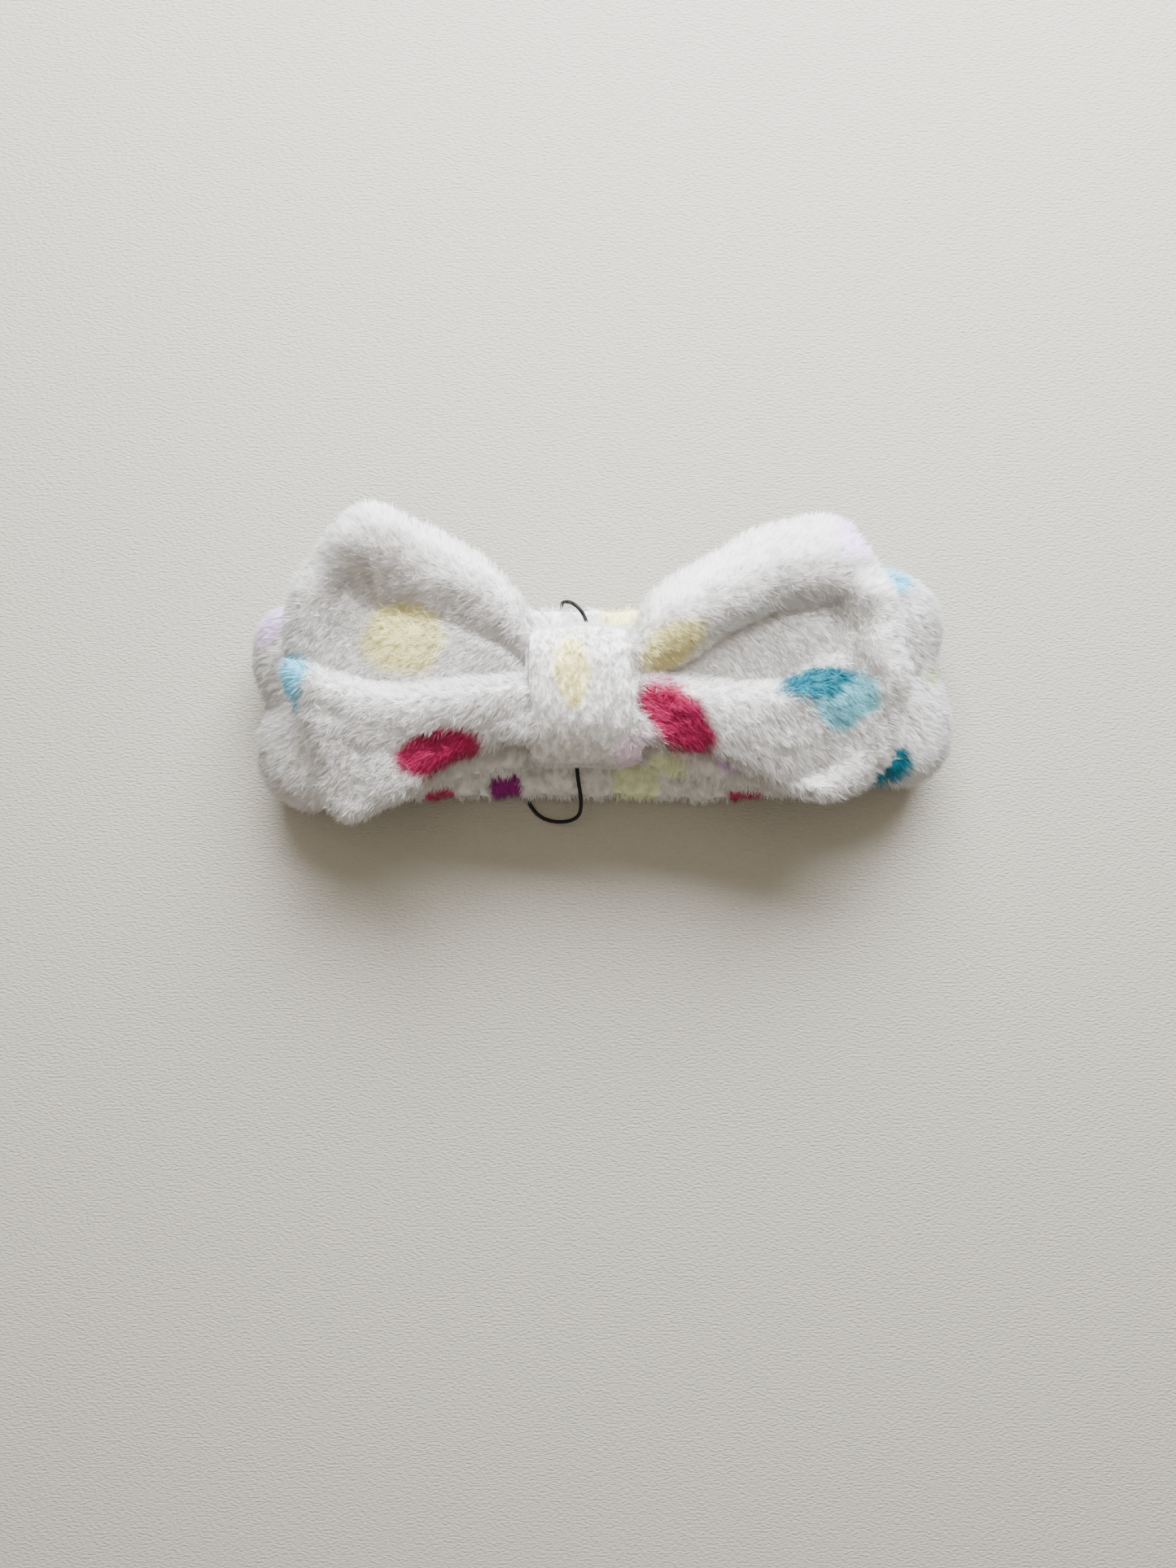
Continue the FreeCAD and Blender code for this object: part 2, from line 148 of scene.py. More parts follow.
# ------------------------------------------------------------------ hang cord and its tie
# Black round elastic, braided over rubber strands and looped round the gathered half of the
# band. Its ends are closed with an overhand tie, which lies on the band under the knot.
CORD = 1.2 * MM
REAR_THICK = 12.5
cord_top = REAR_THICK + 0.7
cord_low = 0.75
tie_middle = Vector((-6.8, -5.2, cord_top + 0.5))
TIE_HALF = 2.1
CORD_ROUTE = [
    tie_middle + Vector((-0.2, -TIE_HALF, 0)),
    (-7.5, -14.0, cord_top),
    (-8.6, -22.5, cord_top - 0.1),
    (-8.0, -31.5, cord_top),
    (-6.6, -39.6, cord_top - 1.2),
    (-7.6, -45.0, cord_top - 6.8),
    (-14.2, -46.6, 2.2),
    (-21.0, -44.6, cord_low),
    (-25.2, -37.6, cord_low + 0.1),
    (-24.0, -27.0, cord_low),
    (-20.6, -12.0, cord_low),
    (-17.4, 2.0, cord_low + 0.1),
    (-14.8, 13.4, cord_low),
    (-13.4, 23.0, cord_low + 0.2),
    (-12.6, 23.5, 9.8),
    (-8.8, 22.2, cord_top + 1.2),
    (-5.2, 17.8, cord_top + 0.2),
    (-4.3, 10.4, cord_top),
    (-5.6, 3.4, cord_top + 0.4),
    tie_middle + Vector((0.2, TIE_HALF, 0)),
]

# Braided elastic: polyester yarns plaited at a 1.2 mm pitch, so a dull black ribbed face.
WAVE = 0.31  # metres between a wave texture's bands at scale 1
PLAIT_PITCH = WAVE / 0.26
braid, tree = material("braided_elastic")
place = add(tree, "ShaderNodeTexCoord")
plait = add(tree, "ShaderNodeTexWave",
            {"Scale": WAVE / (PLAIT_PITCH * MM), "Distortion": 1.5, "Detail": 1.0},
            {"Vector": place.outputs["Object"]}, bands_direction="DIAGONAL")
ribs = add(tree, "ShaderNodeBump", {"Strength": 0.7, "Distance": 0.0002},
           {"Height": plait.outputs["Fac"]})
# The ramp paints the plait's crests slightly lighter than its grooves: a painted highlight on the
# black yarn.
tone = add(tree, "ShaderNodeValToRGB", feeds={"Fac": plait.outputs["Fac"]})
tone.color_ramp.elements[0].color = (*linear("#030304"), 1)
tone.color_ramp.elements[1].color = (*linear("#0f0f13"), 1)
surface = add(tree, "ShaderNodeBsdfPrincipled", {"Roughness": 0.6, "Specular IOR Level": 0.25},
              {"Base Color": tone.outputs["Color"], "Normal": ribs.outputs["Normal"]})
add(tree, "ShaderNodeOutputMaterial", feeds={"Surface": surface.outputs["BSDF"]})


def cord_curve(name, points, radius):
    curve = bpy.data.curves.new(name, "CURVE")
    curve.dimensions = "3D"
    curve.bevel_depth = radius
    curve.bevel_resolution = 4
    curve.use_fill_caps = True
    spline = curve.splines.new("NURBS")
    spline.points.add(len(points) - 1)
    for point, at in zip(spline.points, points):
        point.co = (*(Vector(at) * MM), 1.0)
    spline.order_u = 3
    spline.use_endpoint_u = True
    spline.resolution_u = 12
    return add_object(name, curve, braid)


hang_loop = cord_curve("hang_loop", CORD_ROUTE, CORD / 2)
overhand = []
for k in range(25):
    turn = 2 * math.pi * k / 24
    overhand.append(tie_middle + Vector((
        1.15 * (math.sin(turn) + 2 * math.sin(2 * turn)) * 0.42,
        TIE_HALF * 0.9 * math.cos(turn) * (1 - 0.35 * math.cos(turn)),
        -0.75 * math.sin(3 * turn))))
tie = cord_curve("overhand_tie", overhand, CORD * 0.42)
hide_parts("hang_cord")
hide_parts("hang_cord_tie")
for piece in (hang_loop, tie):
    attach(piece, "rear")

# ------------------------------------------------------------------ plush cloth
# Polyester plush: a knitted ground with a 3.5 mm cut pile, dyed in large soft-edged spots.
# The pile is real blades, combed one way and clumped, so outlines are fuzzy and light streaks.
# blue is darker than its dye alone: painted shade meant for the streak in the right wing's crease,
# and the other blue spots share it.
SPOT_COLOURS = {
    "white": "#ede8e1", "yellow": "#f8eeb0", "crimson": "#b01c50", "blue": "#007584",
    "pale_blue": "#86d4e8", "sky": "#90d6de", "lilac": "#f0d8f2", "purple": "#98207f",
    "lime": "#f2f4cc", "rose": "#fae6ee", "dusk": "#c23e68",
}
# Each spot: colour, centre from the knot's middle, and half sizes, in mm, then its turn about Z.
SPOTS = [
    ("yellow", (-51, 17, 40), (12.3, 10.4, 9), 10),
    ("crimson", (-41, -14.5, 42), (13.5, 6.6, 8), 18),
    ("pale_blue", (-83.5, 2, 42), (5.4, 11, 9), -14),
    ("yellow", (24, 15.2, 45), (12.5, 5.0, 12), 36),
    ("crimson", (25, -6, 44), (14, 7.2, 11), -43),
    ("sky", (73.5, -0.8, 43), (11.5, 7.2, 9), 20),
    # This blue streak along the right wing's crease is partly dye and partly painted shade; its deep
    # colour stands for the crease's shadow.
    ("blue", (65, 3.0, 43), (12.5, 4.2, 9), 14),
    ("lilac", (74, 42, 46), (7, 8, 9), 0),
    ("yellow", (-3.5, 6.7, 50), (5.2, 10.2, 6), 4),
    ("rose", (14, -17, 44), (6, 7, 10), 0),
    ("lilac", (-95, 25, 26), (9, 8, 10), 20),
    ("rose", (-84, -33, 14), (9, 5, 8), 0),
    ("pale_blue", (89, 37, 26), (8, 7, 10), 0),
    ("blue", (89.5, -19.4, 29), (7.4, 5.8, 7), 20),
    ("dusk", (87, -29, 10), (6, 4, 6), 0),
    ("lime", (104, 7.6, 26), (4, 3.4, 8), 0),
    ("purple", (-25, -27, 10), (5.2, 8, 9), 0),
    ("lime", (16, -26, 10), (7.5, 9, 8), 0),
    ("dusk", (51, -30, 9), (5.6, 8, 9), 0),
    ("dusk", (-46, -30, 9), (5.0, 4, 8), 0),
    ("yellow", (12, 30, 11), (9, 7, 7), 0),
    ("lime", (24, -21, 29), (6, 6, 6), 0),
]
# The spots on faces turned away: the underside, the ring's inside and the backs of the wings.
for colour, x, y, z, size in (
        ("crimson", -78, 10, 2, 10), ("yellow", -52, -14, 2, 11), ("blue", -30, 16, 2, 9),
        ("lilac", 2, -14, 2, 10), ("lime", 26, 8, 2, 9), ("crimson", 50, -10, 2, 9),
        ("pale_blue", 74, 16, 2, 11), ("purple", 96, -6, 8, 7), ("yellow", -96, -16, 8, 8),
        ("blue", -66, -8, 34, 9), ("crimson", -40, 14, 25, 8), ("yellow", 44, 10, 25, 9),
        ("pale_blue", 66, -12, 25, 9), ("lilac", -70, 20, 25, 9), ("crimson", 76, 8, 12, 8),
        ("yellow", -64, 4, 12, 9), ("blue", 40, -4, 12, 8), ("lilac", -36, -6, 12, 8),
        ("crimson", -66, 30, 33, 8), ("yellow", 60, 26, 34, 9), ("lilac", 44, -16, 34, 7),
        ("blue", -44, 26, 31, 7), ("crimson", 99, 22, 8, 7)):
    SPOTS.append((colour, (x, y, z), (size, size * 0.85, 5), 25))


SPOT_FRAY = 0.45  # mm that single blades stray over a spot's edge
SPOT_BLUR = 0.2  # share of a spot's half size over which its dye fades


def dye(points, rng=None):
    """The dyed colour at each point (metres, one per row). rng frays the spots' edges."""
    rel = (points - np.array(KNOT)) / MM
    if rng is not None:
        rel = rel + rng.normal(0, SPOT_FRAY, rel.shape)
    colour = np.tile(linear(SPOT_COLOURS["white"]), (len(rel), 1))
    wobble = 0.05 * np.sin(rel[:, 0] * 0.35 + rel[:, 1] * 0.2) + 0.03 * np.sin(rel[:, 1] * 0.7)
    for name, centre, half, turn in SPOTS:
        d = rel - np.array(centre)
        c, s = math.cos(math.radians(turn)), math.sin(math.radians(turn))
        across = np.stack([(c * d[:, 0] + s * d[:, 1]) / half[0],
                           (c * d[:, 1] - s * d[:, 0]) / half[1], d[:, 2] / half[2]], 1)
        far = np.sqrt((across ** 2).sum(1)) + wobble
        share = np.clip((1.09 - far) / SPOT_BLUR, 0, 1)[:, None]
        colour = colour * (1 - share) + share * np.array(linear(SPOT_COLOURS[name]))
    return colour


def paint(mesh, colours):
    """Stores one colour a vertex as the attribute that the plush materials read."""
    layer = mesh.attributes.new("dye", "FLOAT_COLOR", "POINT")
    layer.data.foreach_set("color", np.hstack([colours, np.ones((len(colours), 1))]).ravel())


def plush_material(name, roughness, sheen, patchy, glow, bump_size=None):
    made, tree = material(name)
    place = add(tree, "ShaderNodeTexCoord")
    dyed = add(tree, "ShaderNodeAttribute", attribute_name="dye")
    patches = add(tree, "ShaderNodeTexNoise", {"Scale": 260.0, "Detail": 2.0},
                  {"Vector": place.outputs["Object"]})
    shade = add(tree, "ShaderNodeMapRange", {"To Min": 1 - patchy, "To Max": 1.0},
                {"Value": patches.outputs["Fac"]})
    colour = add(tree, "ShaderNodeVectorMath", {}, {0: dyed.outputs["Color"],
                 1: shade.outputs["Result"]}, operation="MULTIPLY")
    feeds = {"Base Color": colour.outputs["Vector"]}
    if bump_size:
        knit = add(tree, "ShaderNodeTexVoronoi", {"Scale": 1 / (bump_size * MM)},
                   {"Vector": place.outputs["Object"]})
        bump = add(tree, "ShaderNodeBump", {"Strength": 0.5, "Distance": 0.0003},
                   {"Height": knit.outputs["Distance"]})
        feeds["Normal"] = bump.outputs["Normal"]
    surface = add(tree, "ShaderNodeBsdfPrincipled",
                  {"Roughness": roughness, "Sheen Weight": sheen, "Sheen Roughness": 0.5,
                   "Specular IOR Level": 0.3}, feeds)
    through = add(tree, "ShaderNodeBsdfTranslucent", {}, {"Color": colour.outputs["Vector"]})
    both = add(tree, "ShaderNodeMixShader", {"Fac": glow},
               {1: surface.outputs["BSDF"], 2: through.outputs["BSDF"]})
    add(tree, "ShaderNodeOutputMaterial", feeds={"Surface": both.outputs["Shader"]})
    return made


# Cut pile: fine clear fibres that pass light on, so a soft silky glow with few dark gaps.
# Knitted ground: matt 1.2 mm loops.
pile_fibre = plush_material("polyester_cut_pile", 0.6, 0.2, 0.05, glow=0.38)
knit_ground = plush_material("polyester_knit_ground", 0.9, 0.0, 0.10, glow=0.3, bump_size=1.2)


def smooth(t):
    t = np.clip(t, 0, 1)
    return t * t * (3 - 2 * t)


def bell(x, width):
    return np.exp(-(x / width) ** 2)


def skin(name, bm):
    """Makes the closed cloth shape in bm a piece, its faces outward and its place in its mesh."""
    bmesh.ops.recalc_face_normals(bm, faces=bm.faces[:])
    mesh = bpy.data.meshes.new(name)
    bm.to_mesh(mesh)
    bm.free()
    return add_object(name, mesh)


def places(mesh):
    at = np.empty(len(mesh.vertices) * 3)
    mesh.vertices.foreach_get("co", at)
    return at.reshape(-1, 3)


def shaped(made):
    """A new mesh of the piece as its modifiers leave it."""
    bpy.context.view_layer.update()
    return bpy.data.meshes.new_from_object(
        made.evaluated_get(bpy.context.evaluated_depsgraph_get()))


def settle(made):
    """Applies a piece's modifiers to its mesh."""
    new, old = shaped(made), made.data
    made.modifiers.clear()
    made.data = new
    new.name = old.name
    bpy.data.meshes.remove(old)


PADDING_PRESSURE = 4.0
CLOTH_SLACK = 0.05
SETTLING_FRAMES = 14


def fill(made, voxel, cap):
    """Fills a skin as its padding does: slack cloth under a little pressure, moved at most cap."""
    even = made.modifiers.new("even", "REMESH")
    even.mode, even.voxel_size = "VOXEL", voxel
    settle(made)
    still = places(made.data)
    cloth = made.modifiers.new("cloth", "CLOTH").settings
    cloth.use_pressure = True
    cloth.uniform_pressure_force = PADDING_PRESSURE
    cloth.shrink_min = -CLOTH_SLACK
    cloth.effector_weights.gravity = 0
    for moment in range(1, SETTLING_FRAMES + 1):
        bpy.context.scene.frame_set(moment)
    puffed = shaped(made)
    moved = places(puffed) - still
    bpy.data.meshes.remove(puffed)
    made.modifiers.clear()
    bpy.context.scene.frame_set(1)
    far = np.maximum(np.linalg.norm(moved, axis=1, keepdims=True), 1e-9)
    moved *= cap * np.tanh(far / cap) / far
    made.data.vertices.foreach_set("co", (still + moved).ravel())
    rounding = made.modifiers.new("rounding", "SUBSURF")
    rounding.levels = rounding.render_levels = 1
    settle(made)


def finish_skin(made):
    """Dyes a finished skin and gives it the knitted ground."""
    mesh = made.data
    mesh.materials.clear()
    mesh.materials.append(knit_ground)
    mesh.shade_smooth()
    paint(mesh, dye(places(mesh)))


PILE_WIDTH = 0.14 * MM
CLUMP_BLADES = 6
ROOT_DEPTH = 0.25 * MM  # how far a blade's root is sunk in the ground
BLADE_POINTS = 5  # two at the root, two halfway and the tip
BLADE_LOOPS = (0, 1, 2, 3, 3, 2, 4)  # a four-sided root half and a three-sided tip


def pile(name, ground, count, length, comb, seed, lay=0.9, clump=0.5, ruffle=0.17, keep=None):
    """A piece of cut pile on ground: count bent blades in combed clumps.

    comb gives the way that the pile lies at each point; lay is how flat it lies, ruffle how
    unevenly, and keep, where given, says which points of the ground carry this pile.
    """
    rng = np.random.default_rng(seed)
    mesh = ground.data
    mesh.calc_loop_triangles()
    corner = np.empty(len(mesh.loop_triangles) * 3, np.int64)
    mesh.loop_triangles.foreach_get("vertices", corner)
    corner = corner.reshape(-1, 3)
    at = places(mesh)
    up = np.empty(len(mesh.vertices) * 3)
    mesh.vertices.foreach_get("normal", up)
    up = up.reshape(-1, 3)
    if keep is not None:
        corner = corner[keep(at[corner].mean(1), up[corner].mean(1))]
    area = np.linalg.norm(np.cross(at[corner[:, 1]] - at[corner[:, 0]],
                                   at[corner[:, 2]] - at[corner[:, 0]]), axis=1)
    clumps = count // CLUMP_BLADES
    picked = corner[rng.choice(len(corner), clumps, p=area / area.sum())]
    share = rng.random((clumps, 2))
    over = share.sum(1) > 1
    share[over] = 1 - share[over]
    share = np.hstack([1 - share.sum(1, keepdims=True), share])[:, :, None]
    centre = (at[picked] * share).sum(1)
    row = np.lexsort((centre[:, 0], centre[:, 1] // (2 * MM)))
    picked, share, centre = picked[row], share[row], centre[row]
    normal = (up[picked] * share).sum(1)
    normal /= np.linalg.norm(normal, axis=1, keepdims=True)

    def along_cloth(v):
        v = v - normal * (v * normal).sum(1, keepdims=True)
        return v / np.maximum(np.linalg.norm(v, axis=1, keepdims=True), 1e-9)

    combed = along_cloth(comb(centre, normal) + rng.normal(0, 0.26, centre.shape))
    beside = np.cross(normal, combed)
    lean = lay * rng.uniform(0.75, 1.25, (clumps, 1))
    long = length * rng.uniform(0.8, 1.15, (clumps, 1))
    goal = normal * 0.75 + combed * lean
    goal *= long / np.linalg.norm(goal, axis=1, keepdims=True)

    def per_blade(v):
        return np.repeat(v, CLUMP_BLADES, 0)

    blades = clumps * CLUMP_BLADES
    normal, combed, beside, goal, centre, long = map(
        per_blade, (normal, combed, beside, goal, centre, long))
    off = rng.normal(0, clump * MM, (blades, 2))
    spread = combed * off[:, :1] + beside * off[:, 1:]
    root = centre + spread - normal * ROOT_DEPTH
    reach = rng.uniform(0.7, 1.12, (blades, 1))
    tip = centre + spread * 0.8 + goal * reach + rng.normal(0, 0.3 * MM, (blades, 3))
    middle = root * 0.45 + tip * 0.55 + normal * long * 0.13
    side = np.cross(goal, normal) + rng.normal(0, 0.45 * length, (blades, 3))
    side *= PILE_WIDTH / 2 / np.linalg.norm(side, axis=1, keepdims=True)
    corners = np.stack([root - side, root + side, middle + side * 0.85,
                        middle - side * 0.85, tip], 1)
    corners[:, :, 2] = np.maximum(corners[:, :, 2], 0.05 * MM)
    facing = np.cross(corners[:, 1] - corners[:, 0], corners[:, 2] - corners[:, 0])
    turned = (facing * normal).sum(1) < 0
    corners[turned] = corners[turned][:, [1, 0, 3, 2, 4]]
    first = np.arange(blades, dtype=np.int32)[:, None] * BLADE_POINTS
    loops = np.hstack([first + k for k in BLADE_LOOPS])
    made = bpy.data.meshes.new(name)
    made.vertices.add(blades * BLADE_POINTS)
    made.vertices.foreach_set("co", corners.ravel())
    made.loops.add(blades * len(BLADE_LOOPS))
    made.loops.foreach_set("vertex_index", loops.ravel())
    made.polygons.add(blades * 2)
    starts = np.arange(blades)[:, None] * len(BLADE_LOOPS) + np.array([[0, 4]])
    made.polygons.foreach_set("loop_start", starts.astype(np.int32).ravel())
    made.update(calc_edges=True)
    made.shade_smooth()
    # each blade has its own cell of the map, side by side with its neighbours on the cloth
    cells = math.ceil(math.sqrt(blades))
    at_cell = np.stack([np.arange(blades) % cells, np.arange(blades) // cells], 1)[:, None, :]
    shape = np.array([(0.2, 0.1), (0.8, 0.1), (0.8, 0.5), (0.2, 0.5), (0.5, 0.9)])
    mapped = (at_cell + shape[list(BLADE_LOOPS)]) / cells
    made.uv_layers.new(name="OFBake").data.foreach_set("uv", mapped.ravel())
    tone = per_blade(rng.uniform(0.88, 1.0, (clumps, 1)))
    paint(made, np.repeat(dye(root, rng) * tone, BLADE_POINTS, 0))
    shading = normal + 0.2 * combed + per_blade(rng.normal(0, ruffle, (clumps, 3)))
    shading /= np.linalg.norm(shading, axis=1, keepdims=True)
    made.normals_split_custom_set_from_vertices(np.repeat(shading, BLADE_POINTS, 0))
    return add_object(name, made, pile_fibre)


def wrapped(bm_cuts, place):
    """A closed loop of cloth tube: place(s, c) gives a point round the loop and round the tube."""
    around, across = bm_cuts
    bm = bmesh.new()
    bmesh.ops.create_grid(bm, x_segments=around, y_segments=across, size=0.5)
    for vert in bm.verts:
        vert.co = place(vert.co.x + 0.5, vert.co.y + 0.5)
    bmesh.ops.remove_doubles(bm, verts=bm.verts[:], dist=0.01 * MM)
    return bm


# ------------------------------------------------------------------ band cover
# One tube of plush for the ring. The rear half is bunched on its elastic into uneven gathers;
# the front half is smooth, drawn in at the knot and folded back flat at both ends.
FRONT_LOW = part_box("front_casing_inner")[0][2] / MM
FRONT_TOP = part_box("front_casing_outer")[1][2] / MM
BAND_Y = -8.5
FOLD_X = 90.0
# How far each folded end falls short of its tip, from the lower edge of the band to the upper.
LEFT_END = ((-1, -0.9, -0.75, -0.42, -0.1, 0.08, 0.26, 0.48, 0.8, 0.93, 1),
            (-13, -6, -2.4, -0.4, -1.4, -4.6, -1.4, 0, -0.6, -2, -6))
RIGHT_END = ((-1, -0.9, -0.75, -0.49, -0.1, 0.13, 0.3, 0.5, 0.72, 0.88, 1),
             (-12, -4.4, -1, 0, -2.6, -6.2, -4.2, -3.6, -5, -9, -16))
# How far the band's middle line strays at each end, and the band's width there.
LEFT_SPREAD = (-2.3, 60.2)
RIGHT_SPREAD = (6.8, 65.0)
MIDDLE_WIDTH = 58.5
PINCHED_WIDTH = 31.0  # where the knot draws the front half in
END_DROOP = 2.6
GATHER_PITCH = 10.6
REAR_MIDDLE = 6.4
REAR_HALF = 4.3
FRONT_HALF = 3.0
front_middle = (FRONT_LOW + FRONT_TOP) / 2 - 0.4
FOLD_RADIUS = (front_middle - REAR_MIDDLE) / 2
rng_gather = np.random.default_rng(5)
GATHERS = [(2 * math.pi / GATHER_PITCH * s, rng_gather.uniform(0, 6.3), w)
           for s, w in ((1.0, 1.0), (0.63, 0.55), (1.62, 0.45))]


def flutes(x, across):
    """The gathers' height at x; it slides along as it crosses the band, so no flute is straight."""
    return sum(w * (2 * abs(math.sin(f / 2 * x + p + 0.4 * w * math.sin(across * 2.3 + p))) - 1)
               for f, p, w in GATHERS) / 1.5


def band_place(s, c):
    """s runs round the ring from the middle of the rear half; c runs round the tube."""
    straight, arc = 2 * FOLD_X, math.pi * FOLD_RADIUS
    total = 2 * (straight + arc)
    far = (s * total + FOLD_X) % total
    if far < straight:
        x, z, nx, nz, front = far - FOLD_X, REAR_MIDDLE, 0.0, -1.0, 0.0
    elif far < straight + arc:
        turn = (far - straight) / FOLD_RADIUS
        nx, nz = math.sin(turn), -math.cos(turn)
        x, z = FOLD_X + nx * FOLD_RADIUS, REAR_MIDDLE + FOLD_RADIUS + nz * FOLD_RADIUS
        front = turn / math.pi
    elif far < 2 * straight + arc:
        x, z, nx, nz, front = FOLD_X - (far - straight - arc), front_middle, 0.0, 1.0, 1.0
    else:
        turn = (far - 2 * straight - arc) / FOLD_RADIUS
        nx, nz = -math.sin(turn), math.cos(turn)
        x, z = -FOLD_X + nx * FOLD_RADIUS, front_middle - FOLD_RADIUS + nz * FOLD_RADIUS
        front = 1 - turn / math.pi
    from_knot = x - KNOT.x / MM
    swing, end_width = RIGHT_SPREAD if from_knot > 0 else LEFT_SPREAD
    out = min(1.0, abs(from_knot) / 92)
    y_mid = BAND_Y + swing * smooth((out - 0.35) / 0.65)
    width = MIDDLE_WIDTH + (end_width - MIDDLE_WIDTH) * smooth(out) - 1.5
    if front > 0.98:
        width = PINCHED_WIDTH + (width - PINCHED_WIDTH) * (
            0.46 * smooth((abs(from_knot) - 13.2) / 7) + 0.54 * smooth((abs(from_knot) - 19) / 44))
    half = REAR_HALF + (FRONT_HALF - REAR_HALF) * smooth(front)
    angle = 2 * math.pi * c
    side, lift = math.cos(angle), math.sin(angle)
    flat = math.copysign(abs(side) ** 0.62, side)
    rise = math.copysign(abs(lift) ** 0.72, lift)
    gathered = 1 - smooth(front * 1.25)
    bump = flutes(x, flat)
    half += gathered * bump * (1.5 if rise > 0 else 0.3)
    half += (1 - gathered) * 0.5 * math.sin(x * 0.13 + 2 * flat) * smooth((abs(from_knot) - 24) / 20)
    width += 1.6 * gathered * bump
    short, (dent, deep) = (RIGHT_END, (0.13, 0.5)) if from_knot > 0 else (LEFT_END, (0.08, 0.4))
    near_end = smooth((abs(x) - FOLD_X + 22) / 30)
    inset = np.interp(flat + np.array((-0.08, -0.04, 0, 0.04, 0.08)), *short).mean()
    x += math.copysign(near_end, x) * inset
    crease = bell(flat - dent - 0.1 * math.sin(x * 0.2), 0.13) * near_end
    puff = 1 + 0.25 * math.sin(math.pi * front) - deep * crease
    y = y_mid + flat * width / 2
    x += nx * rise * half * puff
    z += nz * rise * half * puff - END_DROOP * near_end * front
    return Vector((x, y, max(z, 1.5))) * MM


band_cover = skin("band_cover", wrapped((300, 44), band_place))
fill(band_cover, voxel=1.9 * MM, cap=1.0 * MM)
finish_skin(band_cover)
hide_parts("rear_casing_outer", "rear_casing_inner", "front_casing_outer",
            "front_casing_inner", "side_fold_left", "side_fold_right")


def band_comb(centre, normal):
    """The band's pile lies down across it and, on the folds, is brushed outward."""
    out = np.zeros_like(centre)
    out[:, 1] = -0.8
    out[:, 0] = np.sign(centre[:, 0]) * smooth((np.abs(centre[:, 0]) / MM - 70) / 25) * 0.9
    out[:, 2] = -0.3
    return out


def between_folds(p):
    return abs(p[:, 0]) < FOLD_X * MM


def in_rear(p):
    return p[:, 2] < 13 * MM


# Each stretch of the band's pile: how many blades, their share of the full length, and which
# places p with normals n on the cloth carry them.
PILE_LENGTH = 3.5 * MM
BAND_PILES = {
    "rear_outside": (48000, 0.6, lambda p, n: between_folds(p) & in_rear(p) & (n[:, 2] < 0.2)),
    "rear_inside": (48000, 0.72, lambda p, n: between_folds(p) & in_rear(p) & (n[:, 2] >= 0.2)),
    "front_outside": (62000, 1, lambda p, n: between_folds(p) & ~in_rear(p) & (n[:, 2] > -0.2)),
    "front_inside": (34000, 0.8, lambda p, n: between_folds(p) & ~in_rear(p) & (n[:, 2] <= -0.2)),
    "fold_left": (40000, 1, lambda p, n: p[:, 0] <= -FOLD_X * MM),
    "fold_right": (40000, 1, lambda p, n: p[:, 0] >= FOLD_X * MM),
}
band_pieces = [band_cover]
for seed, (where, (blades, share, keep)) in enumerate(BAND_PILES.items(), 11):
    band_pieces.append(pile("band_pile_" + where, band_cover, blades, PILE_LENGTH * share,
                            band_comb, seed, keep=keep))
for piece in band_pieces:
    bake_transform(piece)

# ------------------------------------------------------------------ elastic, threads and waist
# Hidden makings: woven elastic bar-tacked at both ends, the lock stitches that close the tube,
# and the bow's gathered middle with the thread that nips it in.
def yarn_material(name, dark, light, pitch):
    """Twisted or woven polyester yarn: fine even ribs, dull, with a painted highlight that makes the
    rib tops paler than the grooves.
    """
    made, tree = material(name)
    place = add(tree, "ShaderNodeTexCoord")
    ribs = add(tree, "ShaderNodeTexWave", {"Scale": WAVE / (pitch * MM), "Distortion": 0.6},
               {"Vector": place.outputs["Object"]}, bands_direction="X")
    # The ramp paints the rib crests paler and the grooves darker: painted highlight and painted
    # shade.
    tone = add(tree, "ShaderNodeValToRGB", feeds={"Fac": ribs.outputs["Fac"]})
    tone.color_ramp.elements[0].color = (*linear(dark), 1)
    tone.color_ramp.elements[1].color = (*linear(light), 1)
    bump = add(tree, "ShaderNodeBump", {"Strength": 0.6, "Distance": 0.0002},
               {"Height": ribs.outputs["Fac"]})
    surface = add(tree, "ShaderNodeBsdfPrincipled", {"Roughness": 0.75, "Sheen Weight": 0.1},
                  {"Base Color": tone.outputs["Color"], "Normal": bump.outputs["Normal"]})
    add(tree, "ShaderNodeOutputMaterial", feeds={"Surface": surface.outputs["BSDF"]})
    return made


woven_elastic = yarn_material("woven_elastic", "#c9c6bf", "#f2f0ea", 1.6)
polyester_thread = yarn_material("polyester_thread", "#cfcac2", "#f4f1ec", 0.4)


def dress(node, new_material):
    """Gives a carried-over CAD node its finished material."""
    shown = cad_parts[node]
    for slot in shown.material_slots:
        slot.material = new_material


dress("elastic_strip", woven_elastic)
for node in ("elastic_tacks", "rear_end_stitches", "front_end_stitches", "knot_stitches",
             "waist_thread"):
    dress(node, polyester_thread)
dress("bow_waist", knit_ground)
waist_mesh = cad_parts["bow_waist"].data
paint(waist_mesh, dye(places(waist_mesh)))

# ------------------------------------------------------------------ knot wrap
# A strap of the same plush, folded in three, pulled round the bow's waist and the front casing
# and tacked underneath. It is plump across its middle and slightly drawn in at the waist.
WRAP_LOW, WRAP_HIGH = wrap_low[2] / MM, wrap_high[2] / MM
WRAP_HALF_Y = 19.4
WRAP_HALF_X = 16.4
WRAP_HALF_THICK = 2.1
WRAP_SQUARE = 4.6
WRAP_SLOPE = 6.5


